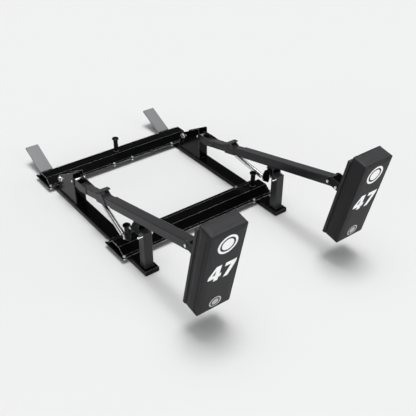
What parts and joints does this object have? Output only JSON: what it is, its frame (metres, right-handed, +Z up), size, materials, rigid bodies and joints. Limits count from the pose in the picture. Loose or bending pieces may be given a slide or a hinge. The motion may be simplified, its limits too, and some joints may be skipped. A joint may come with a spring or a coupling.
{
  "type": "football blocking sled",
  "caption": "Blocking sled: a black steel skid frame with hinged arms carrying tall padded cushions, held by struts.",
  "frame": {"origin": "middle of the whole sled's footprint, on the ground", "axes": "+Z up, +Y from the cushions to the upturned runner tips, +X to the right of a player who faces the cushions"},
  "size_m": [1.8568, 3.4616, 1.1364],
  "materials": {
    "black_paint": "gloss black paint",
    "dark_grey_paint": "satin dark grey paint",
    "tip_grey": "dull grey steel",
    "bright_steel": "bright plated",
    "silver_strut": "bright plated",
    "rubber_block": "moulded",
    "backboard": "black stained plywood",
    "black_vinyl": "coated fabric over foam"
  },
  "bodies": {
    "frame": {"front_left_base_plate": "black_paint", "front_right_base_plate": "black_paint", "rear_left_base_plate": "black_paint", "rear_centre_base_plate": "black_paint", "rear_right_base_plate": "black_paint", "front_left_bollard": "black_paint", "front_right_bollard": "black_paint", "rear_centre_bollard": "black_paint", "front_cross_beam": "black_paint", "rear_cross_beam": "black_paint", "left_runner": "black_paint", "left_runner_tip": "tip_grey", "left_front_post": "black_paint", "left_post_cap": "dark_grey_paint", "left_arm_rest_bracket": "black_paint", "left_arm_rest_pad": "rubber_block", "left_rest_pin": "bright_steel", "left_mast_column": "black_paint", "left_mast_outer_cheek": "black_paint", "left_mast_inner_cheek": "black_paint", "left_hinge_pin": "bright_steel", "left_tie_bar": "bright_steel", "left_strut_foot_pin": "bright_steel", "right_runner": "black_paint", "right_runner_tip": "tip_grey", "right_front_post": "black_paint", "right_post_cap": "dark_grey_paint", "right_arm_rest_bracket": "black_paint", "right_arm_rest_pad": "rubber_block", "right_rest_pin": "bright_steel", "right_mast_column": "black_paint", "right_mast_outer_cheek": "black_paint", "right_mast_inner_cheek": "black_paint", "right_hinge_pin": "bright_steel", "right_tie_bar": "bright_steel", "right_strut_foot_pin": "bright_steel"},
    "left_arm_body": {"left_arm_rear_tube": "dark_grey_paint", "left_arm_front_tube": "dark_grey_paint", "left_strut_saddle": "dark_grey_paint", "left_strut_head_pin": "bright_steel", "left_pad_bracket": "black_paint", "left_pad_backboard": "backboard", "left_pad_cushion": "black_vinyl"},
    "right_arm_body": {"right_arm_rear_tube": "dark_grey_paint", "right_arm_front_tube": "dark_grey_paint", "right_strut_saddle": "dark_grey_paint", "right_strut_head_pin": "bright_steel", "right_pad_bracket": "black_paint", "right_pad_backboard": "backboard", "right_pad_cushion": "black_vinyl"},
    "left_rod_body": {"left_strut_rod": "silver_strut"},
    "right_rod_body": {"right_strut_rod": "silver_strut"},
    "left_cylinder_body": {"left_strut_cylinder": "silver_strut"},
    "right_cylinder_body": {"right_strut_cylinder": "silver_strut"}
  },
  "joints": [
    {"name": "left_arm_lift", "type": "hinge", "parent": "frame", "child": "left_arm_body", "pos_m": [-0.762, 0.63974, 0.316], "axis": [-1, 0, 0], "range_deg": [0, 10]},
    {"name": "left_strut_swing", "type": "hinge", "parent": "frame", "child": "left_rod_body", "pos_m": [-0.8266, -0.35026, 0.223], "axis": [1, 0, 0], "range_deg": [0, 11]},
    {"name": "left_strut_stroke", "type": "slide", "parent": "left_rod_body", "child": "left_cylinder_body", "axis": [0.0994, 0.9674, 0.233], "range_m": [0, 0.039]},
    {"name": "right_arm_lift", "type": "hinge", "parent": "frame", "child": "right_arm_body", "pos_m": [0.762, 0.63974, 0.316], "axis": [-1, 0, 0], "range_deg": [0, 10]},
    {"name": "right_strut_swing", "type": "hinge", "parent": "frame", "child": "right_rod_body", "pos_m": [0.8266, -0.35026, 0.223], "axis": [1, 0, 0], "range_deg": [0, 11]},
    {"name": "right_strut_stroke", "type": "slide", "parent": "right_rod_body", "child": "right_cylinder_body", "axis": [-0.0994, 0.9674, 0.233], "range_m": [0, 0.039]}
  ],
  "couplings": [
    {"joint": "left_strut_swing", "follows": "left_arm_lift", "ratio": 1.0754},
    {"joint": "left_strut_stroke", "follows": "left_arm_lift", "m_per_rad": 0.22086},
    {"joint": "right_strut_swing", "follows": "right_arm_lift", "ratio": 1.0754},
    {"joint": "right_strut_stroke", "follows": "right_arm_lift", "m_per_rad": 0.22086}
  ]
}
